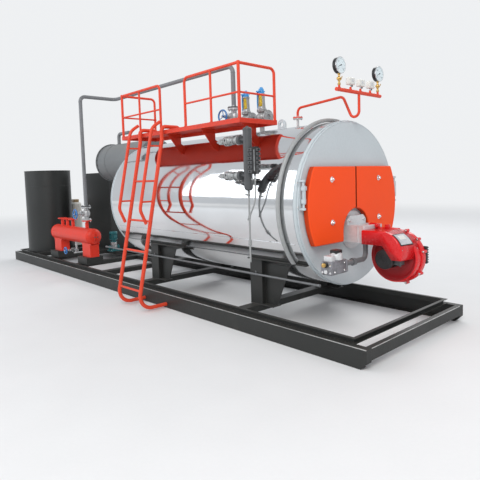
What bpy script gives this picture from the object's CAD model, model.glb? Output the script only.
# Looks of a skid-mounted fire-tube steam boiler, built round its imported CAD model.
from math import asin, cos, pi, radians, sin, sqrt, tan

import bpy
import bmesh
import numpy as np
from mathutils import Matrix, Vector


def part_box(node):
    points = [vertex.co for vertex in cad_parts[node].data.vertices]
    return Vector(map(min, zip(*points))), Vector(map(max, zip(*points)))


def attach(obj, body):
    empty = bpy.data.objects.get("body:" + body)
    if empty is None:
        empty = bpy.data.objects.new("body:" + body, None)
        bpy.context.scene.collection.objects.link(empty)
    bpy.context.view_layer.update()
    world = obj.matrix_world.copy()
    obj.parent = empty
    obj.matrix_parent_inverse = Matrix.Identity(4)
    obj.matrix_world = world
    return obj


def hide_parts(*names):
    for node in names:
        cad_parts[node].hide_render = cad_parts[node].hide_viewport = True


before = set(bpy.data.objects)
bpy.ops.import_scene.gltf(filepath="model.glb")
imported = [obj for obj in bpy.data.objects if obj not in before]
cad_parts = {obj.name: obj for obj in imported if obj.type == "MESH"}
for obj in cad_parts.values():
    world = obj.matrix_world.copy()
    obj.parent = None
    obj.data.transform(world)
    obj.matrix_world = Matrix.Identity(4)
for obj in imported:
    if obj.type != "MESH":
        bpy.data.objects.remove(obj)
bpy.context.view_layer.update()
print("frame loaded:", len(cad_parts), "nodes")

# Places read off the frame, in metres
shellLow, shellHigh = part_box("drum_shell")
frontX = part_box("front_plate")[1].x
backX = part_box("rear_plate")[0].x
axisZ = (shellLow.z + shellHigh.z) / 2
drumRadius = (shellHigh.z - shellLow.z) / 2
drumTop = shellHigh.z
xAxis, yAxis, zAxis = np.eye(3)


# Camera at the photograph's place

viewSettings = {"place": (6.903, -4.239, 1.62), "yaw": 42.44, "pitch": 4.305, "roll": -1.7,
                "lens": 35.73, "shift": -0.0552}


def makeCamera(s):
    # forward from yaw and pitch; right and up turned by the roll
    yaw, pitch, roll = radians(s["yaw"]), radians(s["pitch"]), radians(s["roll"])
    forward = Vector((-cos(yaw) * cos(pitch), sin(yaw) * cos(pitch), -sin(pitch)))
    level = forward.cross(Vector((0, 0, 1))).normalized()
    lift = level.cross(forward)
    right = level * cos(roll) + lift * sin(roll)
    up = lift * cos(roll) - level * sin(roll)
    data = bpy.data.cameras.new("photo_camera")
    data.lens, data.sensor_width, data.shift_y = s["lens"], 36, s["shift"]
    data.clip_end = 200
    camera = bpy.data.objects.new("photo_camera", data)
    turn = Matrix((right, up, -forward)).transposed().to_4x4()
    camera.matrix_world = Matrix.Translation(s["place"]) @ turn
    bpy.context.scene.collection.objects.link(camera)
    bpy.context.scene.camera = camera


makeCamera(viewSettings)
bpy.context.scene.view_settings.view_transform = "Standard"


# Shapes: a part is a pair of points and faces, each face a tuple of point numbers

def gridFaces(rows, columns, closed=False):
    # each face joins four neighbours of a grid of rows by columns; the columns run round, and so do
    # the rows of a closed grid, while an open one has a face on each end
    r, c = np.meshgrid(np.arange(rows if closed else rows - 1), np.arange(columns), indexing="ij")
    r2, c2 = (r + 1) % rows, (c + 1) % columns
    quads = np.stack([r * columns + c, r * columns + c2, r2 * columns + c2, r2 * columns + c], -1)
    faces = [tuple(q) for q in quads.reshape(-1, 4).tolist()]
    if not closed:
        last = (rows - 1) * columns
        faces += [tuple(range(columns))[::-1], tuple(range(last, last + columns))]
    return faces


def basis(direction):
    # three unit vectors, the last one along the direction
    d = np.asarray(direction, float)
    d = d / np.linalg.norm(d)
    side = np.cross([0.0, 0.0, 1.0] if abs(d[2]) < 0.9 else [0.0, 1.0, 0.0], d)
    side /= np.linalg.norm(side)
    return side, np.cross(d, side), d


def equalTurns(count, start=0.0):
    return (np.arange(count) + start) * 2 * pi / count


def circle(u, side, up):
    # unit circle: point = cos u * side + sin u * up
    return np.cos(u)[:, None] * side + np.sin(u)[:, None] * up


def circlePlaces(at, axis, radius, count, start=0.5):
    side, up, _ = basis(axis)
    return np.asarray(at, float) + radius * circle(equalTurns(count, start), side, up)


def revolve(profile, at, axis, sides, closed=False):
    # point = at + height * axis + radius * (cos u * side + sin u * up), for each (radius, height);
    # a closed profile makes a ring with a hole through it
    p = np.asarray(profile, float)
    side, up, d = basis(axis)
    ring = circle(equalTurns(sides), side, up)
    points = np.asarray(at, float) + p[:, 1, None, None] * d + p[:, 0, None, None] * ring[None]
    return points.reshape(-1, 3), gridFaces(len(p), sides, closed)


def rimmed(edge, radius, low, high, slope):
    # profile of a disc or nut whose edges slope over the same height above and below
    return [(edge, low), (radius, low + slope), (radius, high - slope), (edge, high)]


def rod(radius, low, high):
    return [(radius, low), (radius, high)]


def ringTube(radius, thick, at, axis, sides=48, around=12):
    # torus: point = at + (radius + thick cos v) * ring(u) + thick sin v * axis
    side, up, d = basis(axis)
    ring = circle(equalTurns(sides), side, up)
    v = equalTurns(around)
    reach = radius + thick * np.cos(v)
    points = np.asarray(at, float) + ring[:, None] * reach[None, :, None] + (thick * np.sin(v))[None, :,
            None] * d
    return points.reshape(-1, 3), gridFaces(sides, around, closed=True)


def tube(path, radius, around=12):
    # circles carried along a path, each one turned as little as it can be from the last
    path = np.asarray(path, float)
    ahead = np.gradient(path, axis=0)
    ahead /= np.linalg.norm(ahead, axis=1)[:, None]
    side = basis(ahead[0])[0]
    sides = []
    for d in ahead:
        side = side - d * side.dot(d)
        side = side / np.linalg.norm(side)
        sides.append(side)
    sides = np.array(sides)
    radii = np.broadcast_to(np.asarray(radius, float), (len(path),))
    ring = circle(equalTurns(around), sides[:, None], np.cross(ahead, sides)[:, None])
    points = path[:, None] + ring * radii[:, None, None]
    return points.reshape(-1, 3), gridFaces(len(path), around)


def rounded(points, bend, steps):
    # a path whose corners are replaced by arcs, written as quadratic curves of the bend's length
    points = [np.asarray(p, float) for p in points]
    out = [points[0]]
    for before, corner, after in zip(points, points[1:], points[2:]):
        a = corner + (before - corner) / np.linalg.norm(before - corner) * bend
        b = corner + (after - corner) / np.linalg.norm(after - corner) * bend
        t = np.linspace(0, 1, steps)[:, None]
        out.extend((1 - t) ** 2 * a + 2 * t * (1 - t) * corner + t ** 2 * b)
    out.append(points[-1])
    return np.array(out)


def smoothPath(points, steps):
    # Catmull-Rom curve through the points
    p = np.asarray(points, float)
    p = np.vstack([2 * p[0] - p[1], p, 2 * p[-1] - p[-2]])
    t = np.linspace(0, 1, steps, endpoint=False)[None, :, None]
    a, b, c, d = (p[i:len(p) - 3 + i, None] for i in range(4))
    curve = 0.5 * (2 * b + (c - a) * t + (2 * a - 5 * b + 4 * c - d) * t ** 2
                   + (3 * b - a - 3 * c + d) * t ** 3)
    return np.vstack([curve.reshape(-1, 3), p[-2]])


def prism(outline, at, across, up, depth):
    # an outline in the plane of across and up, carried by the depth vector
    o = np.asarray(outline, float)
    base = np.asarray(at, float) + o[:, :1] * np.asarray(across, float) + o[:, 1:] * np.asarray(up, float)
    n = len(o)
    points = np.vstack([base, base + np.asarray(depth, float)])
    faces = [(i, (i + 1) % n, (i + 1) % n + n, i + n) for i in range(n)]
    faces += [tuple(range(n))[::-1], tuple(range(n, 2 * n))]
    return points, faces


def roundBox(low, high, edge):
    # a sphere's grid of radius edge, each octant pushed out to its corner of the box
    low, high = np.asarray(low, float), np.asarray(high, float)
    steps = 3  # of each quarter turn
    quarter = np.linspace(0, pi / 2, steps + 1)
    u = np.concatenate([quarter + k * pi / 2 for k in range(4)])
    v = np.concatenate([quarter - pi / 2, quarter])
    signs = np.repeat(np.array([[1, 1], [-1, 1], [-1, -1], [1, -1]]), steps + 1, axis=0)
    lift = np.repeat([-1, 1], steps + 1)
    half = (high - low) / 2 - edge
    x = signs[None, :, 0] * half[0] + edge * np.cos(v)[:, None] * np.cos(u)[None]
    y = signs[None, :, 1] * half[1] + edge * np.cos(v)[:, None] * np.sin(u)[None]
    z = np.broadcast_to((lift * half[2] + edge * np.sin(v))[:, None], x.shape)
    points = np.stack([x, y, z], -1) + (low + high) / 2
    return points.reshape(-1, 3), gridFaces(len(v), len(u))


def hexBolt(at, axis, size, washer=True):
    # hexagonal head with its corners turned off, on a washer; size is the width across the corners
    w = 0.1 * size if washer else 0.0
    parts = [revolve([(0.5 * size, w), (0.5 * size, w + 0.32 * size), (0.42 * size, w + 0.38 * size)], at,
                     axis, 6)]
    if washer:
        parts.append(revolve(rod(0.62 * size, 0, w), at, axis, 16))
    return merged(parts)


def stud(at, axis, size):
    # nut with the end of its stud standing out
    return merged([hexBolt(at, axis, size), revolve(rod(0.27 * size, 0.3 * size, 0.72 * size), at, axis, 8)])


def spoke(a):
    # direction at the angle a in the plane of X and Z
    return np.array([cos(a), 0, sin(a)])


def fins(at, axis, ways, inner, half, high, low, long):
    # a thin plate along each way round the axis, from the height low on it
    outline = [(-half, 0), (half, 0), (half, high), (-half, high)]
    return [prism(outline, at + way * inner + axis * low, np.cross(axis, way), way, axis * long)
            for way in ways]


def merged(parts):
    points, faces, start = [], [], 0
    for p, f in parts:
        points.append(p)
        faces.extend([tuple(i + start for i in face) for face in f])
        start += len(p)
    return np.vstack(points), faces


def flangeBolts(at, axis, pcd, count, size, thick):
    # nuts on both faces of a flange pair; at is the middle of the joint
    d = basis(axis)[2]
    return merged([stud(p + way * thick, way, size)
                   for p in circlePlaces(at, axis, pcd / 2, count) for way in (d, -d)])


def makePiece(name, groups, replaces=(), body="boiler", bevel=0.0, angle=35):
    # groups are pairs of a part, or a list of parts, and its material
    groups = [(merged(part) if isinstance(part, list) else part, material) for part, material in groups]
    points, faces = merged([part for part, _ in groups])
    materials = list(dict.fromkeys(material for _, material in groups))
    data = bpy.data.meshes.new(name)
    data.from_pydata(points, [], faces)
    for material in materials:
        data.materials.append(material)
    indices = [materials.index(material) for part, material in groups for _ in part[1]]
    data.polygons.foreach_set("material_index", indices)
    bm = bmesh.new()
    bm.from_mesh(data)
    bmesh.ops.remove_doubles(bm, verts=bm.verts, dist=1e-5)
    bmesh.ops.recalc_face_normals(bm, faces=bm.faces)
    bm.to_mesh(data)
    bm.free()
    data.shade_smooth()
    data.set_sharp_from_angle(angle=radians(angle))
    piece = bpy.data.objects.new(name, data)
    bpy.context.scene.collection.objects.link(piece)
    if bevel:
        edge = piece.modifiers.new("edge", "BEVEL")
        edge.width, edge.segments, edge.limit_method, edge.angle_limit = bevel, 3, "ANGLE", radians(30)
        edge.harden_normals = False
    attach(piece, body)
    if replaces:
        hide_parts(*replaces)
    return piece


# Materials

def feed(tree, socket, value):
    # a socket is linked and anything else is written as the input's value
    if isinstance(value, bpy.types.NodeSocket):
        tree.links.new(value, socket)
    else:
        socket.default_value = value


def addNode(tree, kind, inputs=None, **settings):
    node = tree.nodes.new(kind)
    for key, value in settings.items():
        setattr(node, key, value)
    for key, value in (inputs or {}).items():
        feed(tree, node.inputs[key], value)
    return node


def noise(tree, place, scale, detail, stretch=None):
    if stretch:
        place = addNode(tree, "ShaderNodeMapping", {"Vector": place, "Scale": stretch}).outputs[0]
    return addNode(tree, "ShaderNodeTexNoise", {"Vector": place, "Scale": scale,
            "Detail": detail}).outputs["Fac"]


def ranged(tree, value, low, high, toLow=0.0, toHigh=1.0):
    return addNode(tree, "ShaderNodeMapRange", {"Value": value, "From Min": low, "From Max": high,
                                                 "To Min": toLow, "To Max": toHigh}).outputs[0]


def blended(tree, factor, a, b):
    # inputs 6 and 7 of the mix are its two colours
    return addNode(tree, "ShaderNodeMix", {"Factor": factor, 6: a, 7: b}, data_type="RGBA").outputs[2]


def calc(tree, operation, a, b=0.0):
    return addNode(tree, "ShaderNodeMath", {0: a, 1: b}, operation=operation).outputs[0]


def newMaterial(name):
    material = bpy.data.materials.new(name)
    material.use_nodes = True
    tree = material.node_tree
    place = addNode(tree, "ShaderNodeTexCoord").outputs["Object"]
    return material, tree, tree.nodes["Principled BSDF"].inputs, place


def finish(name, colour, rough, **s):
    # s: mottle and its scale, patches, dust that lies on upward faces, wear where edges are, metal,
    # gloss, coat, grain of the bump and soft edges
    material, tree, shader, place = newMaterial(name)
    broad = noise(tree, place, s.get("scale", 2.2), 5)
    fine = noise(tree, place, 38, 3)
    shade = calc(tree, "ADD", ranged(tree, broad, 0.3, 0.7, -0.5, 0.5),
                 ranged(tree, fine, 0.3, 0.7, -0.35, 0.35))
    amount = s.get("mottle", 0.12)
    dark = tuple(c * (1 - amount) for c in colour) + (1,)
    light = tuple(min(c * (1 + amount), 1) for c in colour) + (1,)
    base = blended(tree, ranged(tree, shade, -0.8, 0.8), dark, light)
    if "patch" in s:
        spots = noise(tree, place, s.get("patchScale", 5.0), 8)
        start = 0.7 - s.get("cover", 0.35) * 0.4
        mask = ranged(tree, spots, start, start + 0.06 + s.get("patchSoft", 0.05), 0, s.get("patchMost", 0.8))
        base = blended(tree, mask, base, (*s["patch"], 1))
    if "dust" in s:
        up = addNode(tree, "ShaderNodeSeparateXYZ", {0: addNode(tree,
                "ShaderNodeNewGeometry").outputs["Normal"]}).outputs[2]
        lying = ranged(tree, up, 0.35, 0.95, 0, s.get("dustMost", 0.35))
        lying = calc(tree, "MULTIPLY", lying, ranged(tree, broad, 0.3, 0.65, 0.35, 1.0))
        base = blended(tree, lying, base, (*s["dust"], 1))
    if "wear" in s:
        soft = addNode(tree, "ShaderNodeBevel", {"Radius": 0.004}, samples=4).outputs[0]
        flat = addNode(tree, "ShaderNodeNewGeometry").outputs["Normal"]
        away = addNode(tree, "ShaderNodeVectorMath", {0: soft, 1: flat},
                       operation="DOT_PRODUCT").outputs["Value"]
        edge = ranged(tree, away, 0.985, 0.9, 0, 1)
        edge = calc(tree, "MULTIPLY", edge, ranged(tree, fine, 0.42, 0.6, 0, s.get("wearMost", 0.7)))
        base = blended(tree, edge, base, (*s["wear"], 1))
    spread = s.get("roughSpread", 0.08)
    bump = {"Height": noise(tree, place, s.get("grainScale", 180), 2), "Strength": s.get("grain", 0.08),
            "Distance": 0.002}
    if "soften" in s:
        bump["Normal"] = addNode(tree, "ShaderNodeBevel", {"Radius": s["soften"]}, samples=4).outputs[0]
    inputs = {"Base Color": base, "Roughness": ranged(tree, shade, -0.8, 0.8, max(rough - spread, 0.02),
            rough + spread), "Metallic": s.get("metal", 0.0), "Specular IOR Level": s.get("gloss", 0.5),
           "Coat Weight": s.get("coat", 0.0), "Coat Roughness": s.get("coatRough", 0.08),
           "Normal": addNode(tree, "ShaderNodeBump", bump).outputs[0]}
    for key, value in inputs.items():
        feed(tree, shader[key], value)
    return material


dustColour = (0.3, 0.28, 0.25)
floorDust = (0.13, 0.12, 0.105)

skidPaint = finish("skid_paint", (0.019, 0.02, 0.0185), 0.5,
                   patch=(0.045, 0.043, 0.037), cover=0.18, patchMost=0.4, patchScale=3.0, dust=floorDust,
                    dustMost=0.22, wear=(0.13, 0.11, 0.09), wearMost=0.35, grain=0.18, soften=0.003)
tankPaint = finish("tank_paint", (0.018, 0.0195, 0.0185), 0.4,
                   mottle=0.16, scale=1.4, dust=floorDust, dustMost=0.2, grain=0.12, soften=0.003)
platePaint = finish("plate_paint", (0.56, 0.615, 0.64), 0.42,
                    mottle=0.05, scale=1.3, patch=(0.48, 0.52, 0.54), cover=0.22, patchMost=0.3,
                     patchScale=1.8, patchSoft=0.2, grain=0.1, grainScale=90, soften=0.002, gloss=0.3)
doorPaint = finish("door_paint", (1.0, 0.086, 0.012), 0.46,
                   mottle=0.03, scale=1.6, grain=0.08, grainScale=120, gloss=0.18)
headerPaint = finish("header_paint", (0.72, 0.04, 0.02), 0.38,
                     mottle=0.08, scale=6.0, dust=(0.45, 0.1, 0.06), dustMost=0.12, grain=0.1, gloss=0.3)
railPaint = finish("rail_paint", (0.74, 0.066, 0.028), 0.42,
                   mottle=0.08, scale=6.0, dust=(0.55, 0.16, 0.1), dustMost=0.18, grain=0.1,
                    wear=(0.26, 0.05, 0.03), wearMost=0.3, gloss=0.3)
hoodPaint = finish("hood_paint", (0.7, 0.011, 0.014), 0.26,
                   mottle=0.02, scale=4.0, grain=0.015, grainScale=60, gloss=0.35, coat=0.25, coatRough=0.08)
discPaint = finish("disc_paint", (0.3, 0.003, 0.006), 0.34,
                   mottle=0.1, scale=5.0, grain=0.05, grainScale=60, gloss=0.35)
steelHoop = finish("hoop_steel", (0.36, 0.37, 0.37), 0.5,
                   metal=0.12, mottle=0.12, scale=5.0, dust=dustColour, dustMost=0.15)
zinc = finish("zinc_plate", (0.6, 0.6, 0.6), 0.3, metal=0.9, mottle=0.15, scale=30, grain=0.05)
chrome = finish("chrome", (0.8, 0.8, 0.8), 0.12, metal=1.0, mottle=0.06, roughSpread=0.04, grain=0.02)
brass = finish("brass", (0.66, 0.42, 0.14), 0.3, metal=0.95, mottle=0.18, scale=25, grain=0.06)
castGrey = finish("cast_aluminium", (0.66, 0.67, 0.68), 0.45,
                  metal=0.35, mottle=0.12, scale=9.0, grain=0.35, grainScale=260, soften=0.004)
castDark = finish("cast_mottled", (0.26, 0.26, 0.28), 0.42,
                  metal=0.5, mottle=0.35, scale=16, grain=0.4, grainScale=220, soften=0.004)
valvePaint = finish("valve_paint", (0.5, 0.505, 0.51), 0.36,
                    metal=0.45, mottle=0.14, scale=12, dust=dustColour, dustMost=0.15, grain=0.25)
ironPaint = finish("iron_paint", (0.085, 0.088, 0.092), 0.42, mottle=0.2, scale=10, grain=0.25, soften=0.003)
columnPaint = finish("column_paint", (0.075, 0.078, 0.082), 0.4,
                     mottle=0.15, scale=6, dust=dustColour, dustMost=0.2, grain=0.15)
pipePaint = finish("pipe_paint", (0.19, 0.195, 0.205), 0.4,
                   mottle=0.16, scale=5, dust=dustColour, dustMost=0.25, grain=0.15)
conduitZinc = finish("conduit_zinc", (0.17, 0.175, 0.18), 0.42, metal=0.4, mottle=0.2, scale=9)
ecoPaint = finish("economizer_paint", (0.17, 0.18, 0.185), 0.48,
                  mottle=0.12, scale=2.5, dust=dustColour, dustMost=0.3, grain=0.15, soften=0.003)
blackPlastic = finish("black_plastic", (0.012, 0.012, 0.013), 0.38, mottle=0.2, scale=20, grain=0.2,
                      soften=0.002)
blackRubber = finish("black_rubber", (0.015, 0.015, 0.016), 0.48, mottle=0.15, scale=40, grain=0.1)
bluePaint = finish("blue_paint", (0.033, 0.18, 0.48), 0.3, mottle=0.12, scale=14, coat=0.3, grain=0.06)
capBlue = finish("cap_blue", (0.03, 0.3, 0.68), 0.3, mottle=0.08, scale=18, coat=0.3, grain=0.05)
springYellow = finish("spring_yellow", (0.78, 0.6, 0.05), 0.34, mottle=0.1, scale=20, coat=0.2)
cream = finish("cream_plastic", (0.74, 0.73, 0.69), 0.34, mottle=0.05, scale=12, grain=0.05, soften=0.003)
dialWhite = finish("dial_white", (0.74, 0.83, 0.86), 0.3, mottle=0.02, grain=0.01)
softenerWhite = finish("softener_white", (0.72, 0.71, 0.66), 0.35, mottle=0.06, scale=4, grain=0.06,
                       grainScale=70)
tanPlastic = finish("tan_plastic", (0.42, 0.3, 0.17), 0.4, mottle=0.1, scale=14)
motorGrey = finish("motor_grey", (0.075, 0.077, 0.08), 0.38, mottle=0.15, scale=18, grain=0.15, soften=0.002)
silverPaint = finish("silver_paint", (0.36, 0.37, 0.37), 0.36, metal=0.4, mottle=0.14, scale=16,
                     dust=dustColour, dustMost=0.12, grain=0.25, soften=0.002)
tealPaint = finish("teal_paint", (0.012, 0.13, 0.145), 0.3, mottle=0.12, scale=10, coat=0.3)
gaugeGlass = finish("gauge_glass", (0.22, 0.225, 0.23), 0.16, mottle=0.3, scale=16, coat=0.8, coatRough=0.05)
windowGrey = finish("window_grey", (0.55, 0.56, 0.58), 0.18, mottle=0.2, scale=9, coat=0.8, coatRough=0.05)
wornEdge = finish("worn_edge", (0.46, 0.46, 0.45), 0.42, metal=0.3, mottle=0.35, scale=7.0, grain=0.1)

doorShade = {"turned": (0.2, 0.85), "onSides": 0.55, "seam": (0.0085, 0.013), "inSeam": 0.12}


def shadeDoors(material, s):
    # the doors' colour darkens on the sides of the leaves and most along the seam between them
    tree = material.node_tree
    place = addNode(tree, "ShaderNodeTexCoord").outputs
    facing = addNode(tree, "ShaderNodeSeparateXYZ", {0: place["Normal"]}).outputs[0]
    across = addNode(tree, "ShaderNodeSeparateXYZ", {0: place["Object"]}).outputs[1]
    shade = calc(tree, "MULTIPLY", ranged(tree, facing, *s["turned"], s["onSides"]),
                 ranged(tree, calc(tree, "ABSOLUTE", across), *s["seam"], s["inSeam"]))
    colour = tree.nodes["Principled BSDF"].inputs["Base Color"]
    shaded = addNode(tree, "ShaderNodeVectorMath", {0: colour.links[0].from_socket, 3: shade},
                     operation="SCALE")
    tree.links.new(shaded.outputs[0], colour)


shadeDoors(doorPaint, doorShade)


def mirrorCladding():
    # polished sheet: long waves and small dents in its normal, smears in its gloss
    material, tree, shader, place = newMaterial("mirror_cladding")
    smears = noise(tree, place, 1.6, 6, (0.6, 2.4, 2.4))
    film = noise(tree, place, 0.9, 5, (1.0, 1.8, 1.8))
    waves = noise(tree, place, 1.5, 1, (1.0, 0.8, 0.8))
    lift = calc(tree, "ADD", waves, calc(tree, "MULTIPLY", noise(tree, place, 7.0, 2), 0.05))
    bump = addNode(tree, "ShaderNodeBump", {"Height": lift, "Strength": 0.35, "Distance": 0.02})
    inputs = {"Base Color": blended(tree, ranged(tree, film, 0.35, 0.7), (0.8, 0.81, 0.82, 1),
            (0.66, 0.67, 0.68, 1)), "Roughness": ranged(tree, smears, 0.4, 0.75, 0.045, 0.16),
           "Metallic": 1.0, "Normal": bump.outputs[0]}
    for key, value in inputs.items():
        feed(tree, shader[key], value)
    return material


def chequerPlate():
    # raised lozenges from two crossed waves, each one masked by the other's cells
    material = finish("chequer_plate", (0.66, 0.048, 0.022), 0.42,
                      mottle=0.12, scale=4.0, dust=(0.42, 0.15, 0.1), dustMost=0.3, gloss=0.3)
    tree = material.node_tree
    pitch = 0.05
    parts = addNode(tree, "ShaderNodeSeparateXYZ", {0: addNode(tree,
            "ShaderNodeTexCoord").outputs["Object"]}).outputs
    u, v = (calc(tree, "SINE", calc(tree, "MULTIPLY", calc(tree, way, parts[0], parts[1]), 2 * pi / pitch))
            for way in ("ADD", "SUBTRACT"))
    raised = calc(tree, "MAXIMUM", ranged(tree, calc(tree, "MULTIPLY", u, v), 0.45, 0.7), 0.0)
    normal = tree.nodes["Principled BSDF"].inputs["Normal"]
    bump = addNode(tree, "ShaderNodeBump", {"Height": raised, "Strength": 0.6, "Distance": 0.002,
                                            "Normal": normal.links[0].from_socket})
    tree.links.new(bump.outputs[0], normal)
    return material


mirrorSteel = mirrorCladding()
chequer = chequerPlate()

nodeFinishes = {
    skidPaint: "long_beams end_members long_ledges end_ledges cross_members inner_rails legs header_pedestals",
    tankPaint: "round_tank round_tank_lid square_tank square_tank_lid",
    mirrorSteel: "drum_shell lap_seams",
    steelHoop: "drum_hoop",
    platePaint: "front_plate rear_plate hinges lifting_lug",
    doorPaint: "door_left door_right",
    zinc: "door_knobs_left door_knobs_right header_drain column_drains",
    castGrey: "burner_casting",
    castDark: "gas_valve",
    hoodPaint: "fan_housing burner_cover",
    blackPlastic: "burner_motor air_inlet level_gauge gauges",
    pipePaint: "gas_pipe steam_pipe economizer_flue",
    conduitZinc: "conduit",
    chequer: "deck",
    railPaint: "deck_brackets rail_front rail_rear ladder ladder_handrails gauge_pipe",
    headerPaint: "header_shell header_legs",
    valvePaint: "globe_valves safety_valves column_valves",
    bluePaint: "steam_wheel header_wheel drain_wheel",
    cream: "pressure_switches",
    columnPaint: "water_column",
    ecoPaint: "economizer",
    softenerWhite: "softener",
    tealPaint: "feed_pump",
}

for material, names in nodeFinishes.items():
    for name in names.split():
        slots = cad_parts[name].data.materials
        slots.clear()
        slots.append(material)
print("materials made")


# Stage: pale floor that runs up into a pale background, soft lamps

stageSettings = {"floor": 90.0, "depth": 0.02, "grey": 0.8, "world": (0.86, 0.89, 0.93), "worldPower": 0.75,
                 "sky": (0.86, 0.875, 0.89), "fade": (5.5, 22.0)}


def makeStage(s):
    half, depth = s["floor"] / 2, s["depth"]
    corners = [(-half, -half), (half, -half), (half, half), (-half, half)]
    part = prism(corners, (0, 0, -depth), (1, 0, 0), (0, 1, 0), (0, 0, depth))
    data = bpy.data.meshes.new("floor")
    data.from_pydata(part[0], [], part[1])
    floor = bpy.data.objects.new("floor", data)
    bpy.context.scene.collection.objects.link(floor)
    floorPaint = finish("floor_pale", (s["grey"],) * 3, 0.85, mottle=0.015, grain=0.02, gloss=0.1)
    data.materials.append(floorPaint)
    # far from the boiler the floor turns into the background's colour
    tree = floorPaint.node_tree
    place = addNode(tree, "ShaderNodeTexCoord").outputs["Object"]
    away = addNode(tree, "ShaderNodeVectorMath", {0: place}, operation="LENGTH").outputs["Value"]
    far = addNode(tree, "ShaderNodeMapRange", {"Value": away, "From Min": s["fade"][0],
            "From Max": s["fade"][1]}, interpolation_type="SMOOTHSTEP").outputs[0]
    glow = addNode(tree, "ShaderNodeEmission", {"Color": (*s["sky"], 1), "Strength": 1.0}).outputs[0]
    ray = addNode(tree, "ShaderNodeLightPath").outputs
    far = calc(tree, "MULTIPLY", far, calc(tree, "MAXIMUM", ray["Is Camera Ray"], ray["Is Glossy Ray"]))
    fade = addNode(tree, "ShaderNodeMixShader", {0: far, 1: tree.nodes["Principled BSDF"].outputs[0],
            2: glow})
    tree.links.new(fade.outputs[0], tree.nodes["Material Output"].inputs["Surface"])
    # the camera sees the sky's colour, and the boiler is lit by the world's
    world = bpy.data.worlds.new("pale_world")
    bpy.context.scene.world = world
    world.use_nodes = True
    tree = world.node_tree
    back = tree.nodes["Background"]
    back.inputs["Color"].default_value = (*s["world"], 1)
    back.inputs["Strength"].default_value = s["worldPower"]
    pale = addNode(tree, "ShaderNodeBackground", {"Color": (*s["sky"], 1), "Strength": 1.0}).outputs[0]
    ray = addNode(tree, "ShaderNodeLightPath").outputs
    mix = addNode(tree, "ShaderNodeMixShader", {0: ray["Is Camera Ray"], 1: back.outputs[0], 2: pale})
    tree.links.new(mix.outputs[0], tree.nodes["World Output"].inputs["Surface"])


lampSettings = {"key": {"place": (9.0, -7.5, 8.5), "aim": (1.5, 0, 1.2), "size": 5.0, "power": 620,
                        "colour": (1.0, 0.98, 0.95)}, "fill": {"place": (-5.0, -9.0, 6.0),
        "aim": (0.5, 0, 1.0), "size": 7.0, "power": 330, "colour": (0.93, 0.96, 1.0)},
       "back": {"place": (0.0, 9.0, 9.0), "aim": (0.5, 0, 1.5), "size": 7.0, "power": 420,
                "colour": (1.0, 1.0, 1.0)}, }


def makeLamps(lamps):
    for name, s in lamps.items():
        data = bpy.data.lights.new(name, "AREA")
        data.energy, data.size, data.color = s["power"], s["size"], s["colour"]
        lamp = bpy.data.objects.new(name, data)
        lamp.location = s["place"]
        lamp.rotation_euler = (Vector(s["aim"]) - Vector(s["place"])).to_track_quat("-Z", "Y").to_euler()
        bpy.context.scene.collection.objects.link(lamp)


makeStage(stageSettings)
makeLamps(lampSettings)
print("stage and lamps made")


# Smoke-box doors: leaves with rounded edges, knuckles and dome nuts

doorSettings = {"radius": 0.785, "up": 0.385, "down": -0.378, "split": 0.006, "arch": 0.227,
                "archDrop": -0.276, "edge": 0.012, "face": 0.07, "back": 0.006, "hingeX": 0.036,
                "hingeY": 0.812, "hingeZ": 0.122, "knuckle": 0.022, "bore": 0.0125, "knuckleHalf": 0.02,
                "knuckleGap": 0.06, "plateHalf": (0.008, 0.0165, 0.019), "leafX": (0.0128, 0.0168),
                "leafY": 0.015, "leafZ": 0.088, "nutY": 0.42, "nutZ": (0.256, -0.168), "dome": 0.017}


def doorOutline(s):
    # half a disc cut level above and below, with a quarter of the arch at its inner corner
    low, top = asin(s["down"] / s["radius"]), asin(s["up"] / s["radius"])
    rim = [(s["radius"] * cos(a), s["radius"] * sin(a)) for a in np.linspace(low, top, 24)]
    start = asin(s["split"] / s["arch"])
    arch = [(s["arch"] * sin(a), s["archDrop"] + s["arch"] * cos(a)) for a in np.linspace(start, pi / 2, 14)]
    return [(s["arch"], s["down"])] + rim + [(s["split"], s["up"])] + arch


def makeDoor(s, side, body, node, knobNode):
    leaf = prism(doorOutline(s), (frontX + s["back"], 0, axisZ), (0, side, 0), zAxis,
                 (s["face"] - s["back"], 0, 0))
    makePiece(node + "_leaf", [(leaf, doorPaint)], (node,), body, bevel=s["edge"])
    hinge = np.array([frontX + s["hingeX"], side * s["hingeY"], axisZ + s["hingeZ"]])
    r, bore, half = s["knuckle"], s["bore"], s["knuckleHalf"]
    barrel = [(bore, -half), (r - 0.003, -half), (r, 0.003 - half), (r, half - 0.003), (r - 0.003, half),
              (bore, half)]
    plate = np.array(s["plateHalf"])
    iron = []
    for lift in (-s["knuckleGap"], s["knuckleGap"]):
        at = hinge + [0, 0, lift]
        iron.append(revolve(barrel, at, zAxis, 24, closed=True))
        middle = at - [0, side * 0.0285, 0]
        iron.append(roundBox(middle - plate, middle + plate, 0.002))
    low, high = s["leafX"]
    iron.append(roundBox(hinge + [low, -s["leafY"], -s["leafZ"]], hinge + [high, s["leafY"], s["leafZ"]],
                         0.0015))
    makePiece(node + "_knuckles", [(iron, platePaint)], body=body)
    dome = [(s["dome"] * cos(t) + 0.0002, 0.014 + s["dome"] * sin(t)) for t in np.linspace(0, pi / 2, 8)]
    foot = [(0.029, 0), (0.029, 0.003), (0.026, 0.0045), (0.0185, 0.005), (0.0185, 0.013)]
    nuts = []
    for z in s["nutZ"]:
        at = (frontX + s["face"], side * s["nutY"], axisZ + z)
        nuts.append(revolve(foot + dome, at, xAxis, 24))
        nuts.append(revolve([(0.021, 0.004), (0.021, 0.014), (0.018, 0.016)], at, xAxis, 6))
    makePiece(knobNode + "_nuts", [(nuts, chrome)], (knobNode,), body)


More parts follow.
